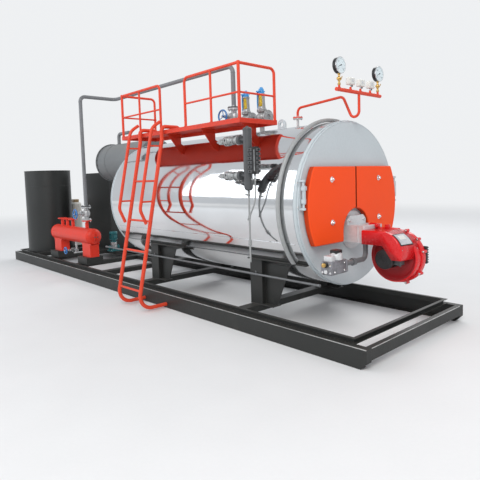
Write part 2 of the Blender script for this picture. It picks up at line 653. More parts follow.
makeDoor(doorSettings, -1, "left_door", "door_left", "door_knobs_left")
makeDoor(doorSettings, 1, "right_door", "door_right", "door_knobs_right")
print("doors made")


# Burner: volute with bolt lugs, hood, finned motor, ribbed inlet, casting's bolts

burnerSettings = {"fanX": 0.5, "fanZ": 0.8, "nearY": -0.03, "discR": 0.247, "ringR": 0.262, "ringY": 0.05,
                  "farY": 0.125, "lugs": (108, 72, 42, 14, -34, -72, -118), "lugR": 0.016, "lugOut": 0.008,
                  "discRoll": 0.014, "ringRoll": 0.012, "film": 0.0008, "ductX": 0.262, "ductLow": 0.905,
                  "ductTop": 1.075, "hoodY": -0.22, "hoodBack": 0.046, "hoodLow": 0.932, "hoodTip": 0.804,
                  "hoodTop": 1.069, "hoodR": 0.209, "hoodSpread": 0.045, "hoodSkin": 0.005, "hoodEdge": 0.014,
                  "motorR": 0.095, "motorY": -0.206, "fins": 26, "inletX": (0.43, 0.765),
                  "inletZ": (0.74, 0.91), "inletY": (0.125, 0.17), "ribs": 7, "plateX": 0.07, "boltY": 0.128,
                  "boltZ": (0.955, 1.142)}


def makeVolute(s):
    # revolved about the fan's axis: near disc with a rolled edge, groove, then the wider ring
    fan = (frontX + s["fanX"], s["nearY"], s["fanZ"])
    depth = s["farY"] - s["nearY"]
    step = s["ringY"] - s["nearY"]
    r, R = s["discR"], s["ringR"]
    turn = np.linspace(0, pi / 2, 6)
    roll, curl = s["discRoll"], s["ringRoll"]
    near = [(r - roll + roll * sin(t), roll - roll * cos(t)) for t in turn]
    rise = [(R - curl + curl * sin(t), step + 0.016 - curl * cos(t)) for t in turn]
    fall = [(R - curl + curl * cos(t), depth - curl + curl * sin(t)) for t in turn]
    dish = [(0.1, 0.004), (0.115, 0.0), (0.205, 0.0), (0.212, 0.003), (0.219, 0.0)]
    groove = [(r, step - 0.002), (r - 0.006, step - 0.001), (r - 0.006, step + 0.004)]
    profile = dish + near + groove + rise + [(R, depth / 2 + step / 2), (R, depth - 0.014)] + fall
    parts = [revolve(profile, fan, yAxis, 96)]
    # the disc's darker paint is a film over its face
    film = s["film"]
    face = [(0.1, -film)] + [(out, h - film) for out, h in dish[1:]] + [(r - roll, -film), (r - 0.016, 0.004)]
    disc = revolve(face, fan, yAxis, 96)
    bolts = []
    for a in s["lugs"]:
        way = spoke(radians(a))
        at = np.array(fan) + way * (R + s["lugOut"])
        at[1] = s["ringY"] + 0.01
        long = s["farY"] - s["ringY"] - 0.02
        parts.append(revolve(rimmed(0.013, s["lugR"], 0, long, 0.003), at, yAxis, 20))
        rib = np.array(fan) + way * (R - 0.006)
        rib[1] = at[1] + 0.006
        outline = [(-0.024, -0.004), (0.024, -0.004), (0.01, 0.02), (-0.01, 0.02)]
        parts.append(prism(outline, rib, np.cross(way, [0, 1, 0]), way, (0, long - 0.012, 0)))
        bolts.append(hexBolt(at, -yAxis, 0.02))
        bolts.append(hexBolt(at + [0, long, 0], yAxis, 0.02))
    low = (frontX + s["ductX"] + 0.001, s["ringY"], s["ductLow"])
    parts.append(roundBox(low, (frontX + s["fanX"], s["farY"] - 0.004, s["ductTop"]), 0.01))
    # boss and ear on top of the duct, and the foot at the volute's lower right
    parts.append(roundBox((frontX + 0.185, 0.03, 1.07), (frontX + 0.292, 0.095, 1.112), 0.008))
    parts.append(roundBox((frontX + 0.205, 0.036, 1.108), (frontX + 0.275, 0.052, 1.119), 0.003))
    parts.append(roundBox((frontX + 0.365, 0.044, 1.05), (frontX + 0.412, 0.08, 1.108), 0.006))
    parts.append(ringTube(0.232, 0.004, (fan[0], s["farY"] + 0.001, fan[2]), yAxis, 72, 8))
    makePiece("fan_volute", [(parts, hoodPaint), (disc, discPaint), (bolts, zinc)],
              ("fan_housing",), angle=40)


def makeHood(s):
    # near face as one outline, its upper and round edges carried back to the volute, then rounded and thickened
    cx, cz = s["fanX"] - 0.02, s["hoodTop"] - s["hoodR"]
    end = asin((s["hoodTip"] - cz) / s["hoodR"])
    arc = [(cx + s["hoodR"] * cos(a), cz + s["hoodR"] * sin(a)) for a in np.linspace(pi / 2, end, 28)]
    top = [(s["ductX"], s["hoodTop"])] + arc
    low = [(s["fanX"] + 0.089, s["hoodTip"]), (s["fanX"] - 0.006, s["hoodLow"]), (s["ductX"], s["hoodLow"])]
    outline = np.array(top + low)
    n, wide = len(outline), s["hoodBack"] - s["hoodY"]
    face = np.stack([outline[:, 0] + frontX, np.full(n, s["hoodY"]), outline[:, 1]], -1)
    carried = [n - 1] + list(range(len(top)))  # the edges that are carried back: end wall, top and round
    tilt = np.clip((face[carried, 0] - frontX - cx) / s["hoodR"], 0, 1)  # the round part widens toward the volute
    back = face[carried] + np.stack([s["hoodSpread"] * tilt, np.full(len(carried), wide),
            np.zeros(len(carried))], -1)
    points = np.vstack([face, back])
    faces = [tuple(range(n))[::-1]]
    faces += [(a, b, n + k + 1, n + k) for k, (a, b) in enumerate(zip(carried, carried[1:]))]
    piece = makePiece("hood", [((points, faces), hoodPaint)], ("burner_cover",), angle=50)
    edge = piece.modifiers.new("edge", "BEVEL")
    edge.width, edge.segments, edge.limit_method, edge.angle_limit = s["hoodEdge"], 4, "ANGLE", radians(60)
    wall = piece.modifiers.new("wall", "SOLIDIFY")
    wall.thickness, wall.offset = s["hoodSkin"], -1
    # display: frame and glass on the round part, between two angles
    def mid(a, y, out):
        spread = s["hoodSpread"] * (y - s["hoodY"]) / wide
        return (frontX + cx + (s["hoodR"] + out + spread) * cos(a), y, cz + (s["hoodR"] + out) * sin(a))

    high, low, y0, y1 = radians(60), radians(23), -0.2, -0.018

    def patch(a0, a1, ya, yb, inner, outer):
        # a curved plate between two angles, two depths and two radii
        a = np.linspace(a0, a1, 9)
        rows = []
        for out, y in ((inner, ya), (outer, ya), (outer, yb), (inner, yb)):
            rows.append([mid(t, y, out) for t in a])
        return np.array(rows).transpose(1, 0, 2).reshape(-1, 3), gridFaces(9, 4)

    rim = patch(high, low, y0, y1, -0.003, 0.003)
    glass = patch(high - 0.05, low + 0.05, y0 + 0.012, y1 - 0.012, 0.002, 0.0045)
    grey = patch(high - 0.14, low + 0.3, y0 + 0.04, y1 - 0.05, 0.004, 0.0055)
    makePiece("hood_display", [(rim, blackPlastic), (glass, windowGrey), (grey, cream)])
    screws = [hexBolt(mid(radians(a), y, 0.0), spoke(radians(a)), 0.01, False)
              for a in (78, 12) for y in (-0.195, 0.02)]
    makePiece("hood_screws", [(screws, zinc)])


def makeMotor(s):
    at = (frontX + s["fanX"], s["nearY"], s["fanZ"])
    r, long = s["motorR"], s["nearY"] - s["motorY"]
    cowl = long - 0.048
    core = [(r, 0.0), (r, 0.012), (r - 0.014, 0.016), (r - 0.014, cowl - 0.004), (r - 0.002, cowl),
            (r, cowl + 0.004), (r, long - 0.01), (r - 0.003, long - 0.003), (r - 0.012, long), (0.03, long),
            (0.028, long - 0.004)]
    parts = [revolve(core, at, -yAxis, 64)]
    ways = circle(equalTurns(s["fins"]), xAxis, zAxis)
    parts += fins(at, yAxis, ways, r - 0.018, 0.0015, 0.017, -0.014, 0.018 - cowl)
    for ring in (0.045, 0.06, 0.075):
        parts.append(ringTube(ring, 0.0022, (at[0], s["motorY"] + 0.0005, at[2]), yAxis, 40, 8))
    low = np.array([frontX + 0.58, -0.17, 0.752])
    terminal = roundBox(low, low + [0.075, 0.078, 0.062], 0.006)
    gland = revolve([(0.009, 0), (0.011, 0.004), (0.011, 0.014), (0.007, 0.018)], low + [0.05, 0.04, 0.001],
                    -zAxis, 16)
    makePiece("motor_body", [(parts, blackPlastic), ([terminal, gland], motorGrey)],
              ("burner_motor",), angle=40)


def makeInlet(s):
    (x0, x1), (z0, z1), (y0, y1) = s["inletX"], s["inletZ"], s["inletY"]
    parts = [roundBox((frontX + x0, y0, z0), (frontX + x1, y1 - 0.014, z1), 0.008)]
    for i in range(s["ribs"]):
        z = z0 + 0.014 + (z1 - z0 - 0.028) * i / (s["ribs"] - 1)
        parts.append(roundBox((frontX + x0 + 0.004, y1 - 0.02, z - 0.007),
                              (frontX + x1 - 0.001, y1, z + 0.007), 0.003))
    makePiece("inlet_grille", [(parts, blackPlastic)], ("air_inlet",))


def makeCastingBolts(s):
    x = frontX + s["plateX"]
    parts = [hexBolt((x, y, z), xAxis, 0.026) for y in (-s["boltY"], s["boltY"]) for z in s["boltZ"]]
    makePiece("casting_bolts", [(parts, zinc)])
    z = 1.1
    ribs = [roundBox((frontX + 0.07, -0.158, z - 0.004), (frontX + 0.205, -0.146, z + 0.008), 0.003)]
    ribs += [roundBox((frontX + 0.18, side * 0.165 - 0.008, 0.935),
                      (frontX + 0.196, side * 0.165 + 0.008, z - 0.006), 0.003) for side in (-1, 1)]
    ribs.append(roundBox((frontX + 0.244, -0.168, 0.93), (frontX + 0.2634, 0.045, z + 0.004), 0.004))
    makePiece("casting_ribs", [(ribs, castGrey)])


makeVolute(burnerSettings)
makeHood(burnerSettings)
makeMotor(burnerSettings)
makeInlet(burnerSettings)
makeCastingBolts(burnerSettings)
print("burner made")


# Gas valve: block, regulator, actuator, brass plug and flange screws

gasSettings = {"x": 0.228, "z": 0.765, "low": (-0.06, -0.735, -0.07), "size": (0.12, 0.25, 0.13)}


def makeGasValve(s):
    at = np.array([frontX + s["x"], 0, s["z"]])
    low = at + np.array(s["low"])
    size = np.array(s["size"])
    high = low + size
    mid = (low + high) / 2
    body = [roundBox(low, high, 0.014)]
    body.append(roundBox((low[0] - 0.004, high[1] - 0.026, low[2] + 0.008),
                         (high[0] + 0.004, high[1] + 0.001, high[2] - 0.006), 0.006))
    body.append(roundBox((low[0] - 0.004, low[1] - 0.002, low[2] + 0.01),
                         (high[0] + 0.004, low[1] + 0.024, high[2] - 0.008), 0.006))
    pale = [revolve([(0.05, 0), (0.062, 0.006), (0.062, 0.05), (0.058, 0.058), (0.046, 0.062), (0.046, 0.07)],
                    (mid[0], low[1] + 0.15, high[2] - 0.003), zAxis, 40)]
    pale.append(roundBox((mid[0] - 0.045, low[1] + 0.015, high[2] - 0.004),
                         (mid[0] + 0.045, low[1] + 0.08, high[2] + 0.048), 0.008))
    black = [roundBox((mid[0] - 0.04, low[1] + 0.105, high[2] + 0.06),
                      (mid[0] + 0.04, low[1] + 0.2, high[2] + 0.094), 0.01)]
    black.append(revolve([(0.026, 0), (0.026, 0.028), (0.022, 0.032)],
                         (mid[0], low[1] + 0.002, high[2] - 0.03), -yAxis, 24))
    gold = [revolve([(0.012, 0), (0.02, 0.003), (0.02, 0.02), (0.014, 0.024)],
                    (mid[0], low[1] - 0.028, high[2] - 0.03), -yAxis, 20)]
    bright = [hexBolt((mid[0] + dx, low[1] - 0.001, mid[2] + dz), -yAxis, 0.016) for dx in (-0.045, 0.045)
              for dz in (-0.04, 0.028)]
    bright.append(revolve([(0.022, 0), (0.022, 0.018), (0.017, 0.022)],
                          (mid[0] + 0.004, low[1] - 0.001, low[2] + 0.036), -yAxis, 6))
    bright += [hexBolt((high[0] - 0.001, low[1] + dy, low[2] + dz), xAxis, 0.013) for dy,
               dz in ((0.05, 0.028), (0.2, 0.028), (0.2, 0.1))]
    bright += [hexBolt((mid[0] + dx, low[1] + 0.15 + dy, high[2] + 0.045), zAxis, 0.01) for dx,
               dy in ((0.053, 0), (-0.053, 0))]
    makePiece("gas_block", [(body, castDark), (pale, castGrey), (black, blackPlastic),
                            (gold, brass), (bright, chrome)], ("gas_valve",))
    y = -0.33
    union = [revolve(rimmed(0.03, 0.04, 0, 0.023, 0.003), (at[0], y, at[2]), yAxis, 8),
             revolve([(0.028, 0), (0.036, 0.002), (0.036, 0.026), (0.028, 0.03)], (at[0], y + 0.03, at[2]),
                     yAxis, 6)]
    makePiece("gas_union", [(union, pipePaint)])


makeGasValve(gasSettings)
print("gas valve made")


# Globe valves and handwheels

valveSettings = {"face": 0.23, "flangeD": 0.165, "flangeT": 0.018, "pcd": 0.125, "bolts": 4,
                 "boltSize": 0.024, "pipeR": 0.03, "bend": 0.09, "wheelOut": 0.2, "hubOut": 0.092,
                 "wheelR": 0.0775, "drainR": 0.057, "rimR": 0.0115, "spokes": 3}


def makeGlobeValves(s, places):
    # body turned about the pipe with a bulb in its middle; bonnet, yoke and gland toward -Y
    body, nuts = [], []
    for at in places:
        at = np.array(at)
        half, R, t = s["face"] / 2, s["flangeD"] / 2, s["flangeT"]
        u = np.linspace(-1, 1, 15)
        bulb = [(0.036 + 0.027 * (1 - v * v) ** 0.5, 0.06 * v) for v in u]
        profile = [(R, -half), (R, -half + t), (0.048, -half + t + 0.003), (0.037, -half + t + 0.012)] + bulb
        profile += [(0.037, half - t - 0.012), (0.048, half - t - 0.003), (R, half - t), (R, half)]
        body.append(revolve(profile, at, zAxis, 40))
        bonnet = [(0.036, 0.03), (0.036, 0.072), (0.052, 0.076), (0.052, 0.086), (0.046, 0.088),
                  (0.052, 0.09), (0.052, 0.1), (0.024, 0.106), (0.019, 0.118), (0.019, 0.126), (0.024, 0.128),
                  (0.024, 0.14), (0.0122, 0.14), (0.0122, 0.104)]
        body.append(revolve(bonnet, at, -yAxis, 32))
        for side in (-1, 1):
            arm = np.array([(side * 0.034, -0.096, 0), (side * 0.038, -0.125, 0), (side * 0.032, -0.152, 0),
                            (side * 0.017, -0.165, 0)])
            body.append(tube(smoothPath(arm, 5) + at, 0.0065, 10))
        body.append(revolve([(0.0125, 0.156), (0.021, 0.157), (0.021, 0.172), (0.0125, 0.174)], at, -yAxis,
                            24, closed=True))
        for a in range(4):
            place = at + spoke(pi / 4 + a * pi / 2) * 0.043
            nuts.append(stud(place + [0, -0.099, 0], -yAxis, 0.014))
            nuts.append(stud(place + [0, -0.077, 0], yAxis, 0.014))
        for z in (-half, half):
            nuts.append(flangeBolts(at + [0, 0, z], zAxis, s["pcd"], s["bolts"], s["boltSize"], t))
    makePiece("valve_bodies", [(body, valvePaint), (nuts, zinc)],
              ("globe_valves",), angle=40)


def makeWheel(name, s, at, radius, body, node, reach=0.072):
    # rim with spokes that rise to the hub, on its stem with a nut
    at = np.array(at)
    rim = [ringTube(radius, s["rimR"], at, yAxis, 56, 12)]
    for k in range(s["spokes"]):
        way = spoke(2 * pi * k / s["spokes"] + pi / 2)
        t = np.linspace(0, 1, 8)[:, None]
        path = at + way * (0.012 + (radius - 0.014) * t) + np.array([0, 0.01, 0]) * np.cos(t * pi / 2)
        rim.append(tube(path, 0.006 - 0.001 * t[:, 0], 10))
    rim.append(revolve([(0.012, -0.014), (0.017, -0.011), (0.017, 0.012), (0.013, 0.015)], at, yAxis, 24))
    steel = [revolve([(0.0095, 0.0), (0.0108, 0.002), (0.0108, reach + 0.02)], at, yAxis, 20),
             hexBolt(at - [0, 0.013, 0], -yAxis, 0.024)]
    makePiece(name, [(rim, bluePaint), (steel, zinc)], (node,), body)


def wheelPlace(node, out):
    low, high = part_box(node)
    return np.array([(low.x + high.x) / 2, high.y - out, (low.z + high.z) / 2])


steamWheelAt, headerWheelAt, drainWheelAt = (
    wheelPlace(node, valveSettings["hubOut"]) for node in ("steam_wheel", "header_wheel", "drain_wheel"))
valvePlaces = [steamWheelAt + [0, valveSettings["wheelOut"], 0],
               headerWheelAt + [0, valveSettings["wheelOut"], 0]]
makeGlobeValves(valveSettings, valvePlaces)
makeWheel("main_wheel", valveSettings, steamWheelAt, valveSettings["wheelR"], "main_handwheel", "steam_wheel")
makeWheel("header_valve_wheel", valveSettings, headerWheelAt, valveSettings["wheelR"], "header_handwheel",
          "header_wheel")
makeWheel("drain_valve_wheel", valveSettings, drainWheelAt, valveSettings["drainR"], "drain_handwheel",
          "drain_wheel", 0.06)
print("valves made")


# Steam line's and header's small parts: weld rings, gaskets, nuts, hand hole

headerSettings = {"at": (-0.985, -0.65, 0.69), "radius": 0.1365, "spares": (-1.534, -1.78, -2.0),
                  "top": 0.965}


def weldRing(at, axis, radius, thick=0.0035, sides=48):
    return ringTube(radius, thick, at, axis, sides, 6)


def makePipeDetails(s):
    welds, pads, collars = [], [], []
    r, bend = s["pipeR"], s["bend"]
    x0, (x1, y1, _), z = valvePlaces[0][0], valvePlaces[1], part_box("steam_pipe")[1].z - r
    for at, axis in (((x0, 0, z - bend), zAxis), ((x0 - bend, 0, z), xAxis), ((x1 + bend, 0, z), xAxis),
                     ((x1, -bend, z), yAxis), ((x1, y1 + bend, z), yAxis), ((x1, y1, z - bend), zAxis),
                     ((x0 - 1.6, 0, z), xAxis), ((x1, y1, 1.9), zAxis)):
        welds.append(weldRing(at, axis, r + 0.0005 if axis[2] else r - 0.0026, 0.003))
    for at in valvePlaces:
        for side in (-1, 1):
            joint = at + np.array([0, 0, side * 0.115])
            pads.append(revolve(rod(0.062, -0.002, 0.002), joint, zAxis, 32))
            welds.append(weldRing(joint + [0, 0, side * 0.019], zAxis, r + 0.003, 0.004))
        collar = [(0.0815, 0.1165), (0.0829, 0.1175), (0.0829, 0.1322), (0.0815, 0.1337), (0.034, 0.1337)]
        collars.append(revolve(collar, at, zAxis, 48))
    makePiece("pipe_welds", [(welds, pipePaint), (pads, blackRubber), (collars, ironPaint)])


def makeHeaderDetails(s):
    y, z = s["at"][1], s["at"][2]
    low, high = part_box("header_shell")
    right = high.x - s["radius"] * 0.5
    left = low.x + s["radius"] * 0.5
    red = [weldRing((end, y, z), xAxis, s["radius"] + 0.0005, 0.004, 72) for end in (left, right)]
    outlets = list(s["spares"]) + [valvePlaces[1][0]]
    for at in outlets:
        # the weld follows the saddle where the neck meets the shell
        a = np.linspace(0, 2 * pi, 32, endpoint=False)
        px, py = 0.033 * np.cos(a), 0.033 * np.sin(a)
        pz = np.sqrt(s["radius"] ** 2 - py ** 2)
        path = np.stack([at + px, y + py, z + pz], -1)
        red.append(tube(np.vstack([path, path[:2]]), 0.004, 6))
        red.append(weldRing((at, y, s["top"] - 0.0195), zAxis, 0.032, 0.004))
    # hand hole on the right end: frame, cover and its bridge with a nut
    hole = np.array([right + s["radius"] * 0.5, y, z])
    red.append(ringTube(0.055, 0.009, hole - [0.004, 0, 0], xAxis, 40, 10))
    red.append(revolve([(0.046, -0.01), (0.046, 0.004), (0.038, 0.008)], hole, xAxis, 32))
    steel = []
    for side in (-1, 1):
        arch = np.array([(-0.004, side * 0.024, -0.058), (0.022, side * 0.024, -0.04),
                         (0.026, side * 0.024, 0), (0.022, side * 0.024, 0.04),
                         (-0.004, side * 0.024, 0.058)])
        red.append(tube(smoothPath(arch, 6) + hole, 0.0085, 10))
        steel.append(stud(hole + [0.032, side * 0.024, 0], xAxis, 0.02))
    # drain valve's nuts and the spare flanges' rims
    drain = drainWheelAt + np.array([0, 0.15, 0])
    for dx in (-0.038, 0.038):
        steel.append(revolve(rimmed(0.026, 0.03, -0.007, 0.007, 0.002), drain + [dx, 0, 0], xAxis, 8))
    steel.append(revolve(rimmed(0.019, 0.026, 0.03, 0.052, 0.002), drain, -yAxis, 6, closed=True))
    steel.append(revolve(rimmed(0.019, 0.023, 0.074, 0.089, 0.001), drain, -yAxis, 6, closed=True))
    for at in s["spares"]:
        red.append(ringTube(0.0455, 0.0012, (at, y, s["top"]), zAxis, 40, 6))
    makePiece("header_welds", [(red, headerPaint), (steel, ironPaint)])


makePipeDetails(valveSettings)
makeHeaderDetails(headerSettings)
print("header made")


# Safety valves: bulb body, open yoke with its spring, blue cap and lifting lever

safetySettings = {"x": (-1.28, -1.555), "base": 0.08, "bodyR": 0.07, "flangeR": 0.0825, "outletX": 0.098,
                  "outletZ": 0.092, "yokeZ": 0.18, "yokeH": 0.18, "springTurns": 8, "springR": 0.024,
                  "wire": 0.0068}


def makeSafetyValves(s):
    cast, blue, yellow, bolts = [], [], [], []
    for dx in s["x"]:
        at = np.array([frontX + dx, 0, drumTop + s["base"]])
        z = s["outletZ"]
        u = np.linspace(-0.85, 0.85, 13)
        bulb = [(s["bodyR"] * sqrt(1 - v * v), z + s["bodyR"] * v) for v in u]
        profile = [(0.03, -0.081), (0.03, -0.001), (s["flangeR"], 0), (s["flangeR"], 0.018),
                   (0.04, 0.022)] + bulb
        profile += [(0.05, 0.156), (0.061, 0.164), (0.061, 0.176), (0.056, 0.178), (0.061, 0.18),
                    (0.061, 0.192), (0.046, 0.2), (0.042, 0.222), (0.034, 0.228)]
        cast.append(revolve(profile, at, zAxis, 48))
        neck = [(0.04, 0.045), (0.034, 0.075), (0.036, 0.094), (s["flangeR"], s["outletX"]),
                (s["flangeR"], s["outletX"] + 0.018), (0.05, s["outletX"] + 0.018),
                (0.048, s["outletX"] + 0.02), (0.03, s["outletX"] + 0.02), (0.028, s["outletX"] + 0.004)]
        cast.append(revolve(neck, at + [0, 0, z], xAxis, 48))
        top = s["yokeZ"] + s["yokeH"]
        for side in (-1, 1):
            # each side of the yoke is a curved plate from the bonnet to the top ring
            h = np.linspace(0.198, top + 0.01, 12)
            reach = 0.043 - 0.01 * ((h - 0.198) / (top - 0.188)) ** 2
            width = 0.02 + 0.01 * np.abs(np.linspace(-1, 1, 12)) ** 3
            rows = []
            for out, wide in ((0.0, -1), (0.0, 1), (-0.007, 1), (-0.007, -1)):
                rows.append(np.stack([side * (reach + out), -wide * width, h], -1))
            pts = np.array(rows).transpose(1, 0, 2).reshape(-1, 3) + at
            cast.append((pts, gridFaces(12, 4)))
        cast.append(revolve([(0.03, top), (0.04, top + 0.003), (0.046, top + 0.006), (0.046, top + 0.018),
                             (0.036, top + 0.024)], at, zAxis, 32))
        turns = np.linspace(0, 2 * pi * s["springTurns"], 150)
        lift = 0.228 + (top - 0.236) * np.linspace(0, 1, 150)
        coil = np.stack([s["springR"] * np.cos(turns), s["springR"] * np.sin(turns), lift], -1) + at
        yellow.append(tube(coil, s["wire"], 8))
        yellow.append(revolve(rod(0.031, 0, 0.007), at + [0, 0, 0.222], zAxis, 24))
        yellow.append(revolve(rod(0.031, 0, 0.007), at + [0, 0, top - 0.008], zAxis, 24))
        cast.append(revolve(rod(0.009, 0.2, top + 0.02), at, zAxis, 14))
        cap = [(0.038, top + 0.02), (0.04, top + 0.024), (0.04, top + 0.034), (0.033, top + 0.038),
               (0.033, top + 0.066), (0.028, top + 0.074), (0.021, top + 0.079), (0.021, top + 0.092),
               (0.016, top + 0.1), (0.008, top + 0.102)]
        blue.append(revolve(cap, at, zAxis, 32))
        blue.append(revolve([(0.031, top + 0.068), (0.034, top + 0.071), (0.034, top + 0.079),
                             (0.031, top + 0.082)], at, zAxis, 6))
        # fork over the cap and the lever that hangs beside the yoke
        for side in (-1, 1):
            blue.append(roundBox(at + [-0.052, side * 0.036 - 0.004, top + 0.044],
                    at + [0.014, side * 0.036 + 0.004, top + 0.062], 0.003))
        blue.append(revolve(rod(0.006, -0.044, 0.044), at + [0.018, 0, top + 0.052], yAxis, 12))
        lever = np.array([(-0.05, 0, top + 0.056), (-0.06, 0, top + 0.02), (-0.061, 0, top - 0.08),
                          (-0.058, 0, 0.205)])
        path = smoothPath(lever, 6) + at
        half = np.array([0, 0.0155, 0])
        flat = np.stack([path - half, path + half, path + half + [-0.006, 0, 0],
                         path - half + [-0.006, 0, 0]], 1)
        blue.append((flat.reshape(-1, 3), gridFaces(len(path), 4)))
        blue.append(roundBox(at + [-0.056, -0.039, top + 0.044], at + [-0.047, 0.039, top + 0.062], 0.003))
        for place in circlePlaces(at + [0, 0, 0.192], zAxis, 0.053, 6):
            bolts.append(stud(place, zAxis, 0.013))
        for place in circlePlaces(at + [0, 0, 0.018], zAxis, 0.0635, 4):
            bolts.append(stud(place, zAxis, 0.02))
        for place in circlePlaces(at + [s["outletX"], 0, z], xAxis, 0.0635, 4):
            bolts.append(revolve(rod(0.0085, -0.0008, 0.019), place, xAxis, 16))
    makePiece("safety_bodies", [(cast, silverPaint), (bolts, zinc)],
              ("safety_valves",), angle=40)
    makePiece("safety_caps", [(blue, capBlue), (yellow, springYellow)])


makeSafetyValves(safetySettings)
print("safety valves made")


# Gauges with dials and cocks, pressure switches

gaugeSettings = {"x": 0.112, "y": (-0.336, 0.352), "dialZ": 2.672, "radius": 0.08, "depth": 0.05,
                 "stub": 2.486, "switchY": (-0.147, 0.027, 0.205), "ticks": 31, "siphonX": -0.704,
                 "siphonBolts": 0.042, "zeroAt": 225, "sweep": 270, "needleAt": 205}


def dialWays(degrees):
    # outward and along the dial, at an angle on its face
    a = radians(degrees)
    return np.array([0, cos(a), sin(a)]), np.array([0, -sin(a), cos(a)])


def makeGauges(s):
    case, rim, face, marks, cocks, needle = [], [], [], [], [], []
    R = s["radius"]
    for y in s["y"]:
        at = np.array([frontX + s["x"] - s["depth"] / 2, y, s["dialZ"]])
        case.append(revolve([(R - 0.012, 0), (R - 0.004, 0.003), (R - 0.003, 0.04), (R, 0.042), (R, 0.048)],
                            at, xAxis, 64))
        rim.append(revolve([(R - 0.001, 0.0405), (R, 0.043), (R, 0.049), (R - 0.003, 0.0505),
                            (R - 0.007, 0.05), (R - 0.007, 0.0475)], at, xAxis, 64))
        face.append(revolve([(R - 0.006, 0.046), (R - 0.006, 0.0485), (0.001, 0.0486)], at, xAxis, 64))
        plane = at + [0.0487, 0, 0]
        for k in range(s["ticks"]):
            way, across = dialWays(s["zeroAt"] - s["sweep"] * k / (s["ticks"] - 1))
            long, wide = (0.009, 0.0011) if k % 5 == 0 else (0.005, 0.0006)
            marks.append(prism([(-wide, 0), (wide, 0), (wide, long), (-wide, long)], plane + way * 0.058,
                    across, way, (0.0005, 0, 0)))
        way, across = dialWays(s["needleAt"])
        needle.append(prism([(-0.0028, -0.018), (0.0028, -0.018), (0.0016, 0.04), (0, 0.056),
                             (-0.0016, 0.04)], plane + [0.0006, 0, 0], across, way, (0.0008, 0, 0)))
        needle.append(revolve([(0.006, 0), (0.006, 0.0024), (0.003, 0.003)], plane + [0.0004, 0, 0], xAxis,
                              20))
        foot = np.array([frontX + s["x"], y, s["stub"]])
        cocks.append(revolve([(0.014, 0), (0.015, 0.002), (0.015, 0.018), (0.011, 0.02), (0.009, 0.034),
                              (0.013, 0.042), (0.017, 0.052), (0.017, 0.068), (0.013, 0.078), (0.009, 0.084),
                              (0.009, 0.094), (0.0135, 0.096), (0.0135, 0.11), (0.009, 0.112)], foot, zAxis,
                             24))
        cocks.append(revolve([(0.008, -0.028), (0.012, -0.026), (0.012, -0.018), (0.01, -0.016),
                              (0.01, 0.016), (0.012, 0.018), (0.012, 0.026), (0.008, 0.028)],
                             foot + [0, 0, 0.06], yAxis, 20))
        cocks.append(tube(np.array([foot + [0.017, 0, 0.06], foot + [0.03, 0, 0.062],
                foot + [0.036, 0, 0.08]]), 0.0045, 8))
    makePiece("gauge_cases", [(case, blackPlastic), (rim, chrome), (face, dialWhite),
                              (marks, blackRubber), (needle, blackRubber)], ("gauges",))
    makePiece("gauge_cocks", [(cocks, brass)])


def makeDialNumbers(s):
    # plain numbers 0 to 3 round the dial, turned into a mesh
    meshes = []
    for y in s["y"]:
        for value in range(0, 7, 2):
            way, _ = dialWays(s["zeroAt"] - s["sweep"] * value / 6)
            curve = bpy.data.curves.new("number", "FONT")
            curve.body, curve.size, curve.extrude = "%g" % (value / 4), 0.016, 0.0003
            curve.align_x, curve.align_y = "CENTER", "CENTER"
            holder = bpy.data.objects.new("number", curve)
            bpy.context.scene.collection.objects.link(holder)
            bpy.context.view_layer.update()
            flat = bpy.data.meshes.new_from_object(holder.evaluated_get(bpy.context.evaluated_depsgraph_get()))
            co = np.empty(len(flat.vertices) * 3)
            flat.vertices.foreach_get("co", co)
            co = co.reshape(-1, 3)
            centre = np.array([frontX + s["x"] - s["depth"] / 2 + 0.0488, y, s["dialZ"]]) + way * 0.046
            points = centre + co[:, [2, 0, 1]]  # the text's right, up and depth are Y, Z and X
            meshes.append((points, [tuple(p.vertices) for p in flat.polygons]))
            bpy.data.objects.remove(holder)
    makePiece("dial_numbers", [(meshes, blackRubber)])


def makeSwitches(s):
    shells, pane, dark, small = [], [], [], []
    for y in s["switchY"]:
        at = np.array([frontX + s["x"], y, s["stub"]])
        shells.append(roundBox(at + [-0.024, -0.048, 0.02], at + [0.022, 0.048, 0.092], 0.007))
        shells.append(roundBox(at + [0.016, -0.045, 0.024], at + [0.026, 0.045, 0.089], 0.004))
        pane.append(roundBox(at + [0.0245, -0.014, 0.046], at + [0.0268, 0.016, 0.074], 0.001))
        small += [hexBolt(at + [0.0255, side * 0.038, 0.031], xAxis, 0.007, False) for side in (-1, 1)]
        small.append(revolve([(0.011, 0.0), (0.013, 0.002), (0.013, 0.014), (0.009, 0.016), (0.009, 0.021)],
                             at, zAxis, 6))
        dark.append(revolve([(0.008, 0), (0.011, 0.002), (0.011, 0.012), (0.007, 0.016)],
                            at + [-0.004, 0.028, 0.021], -zAxis, 14))
    makePiece("switch_covers", [(shells, cream), (pane, windowGrey), (dark, blackPlastic), (small, zinc)],
              ("pressure_switches",))


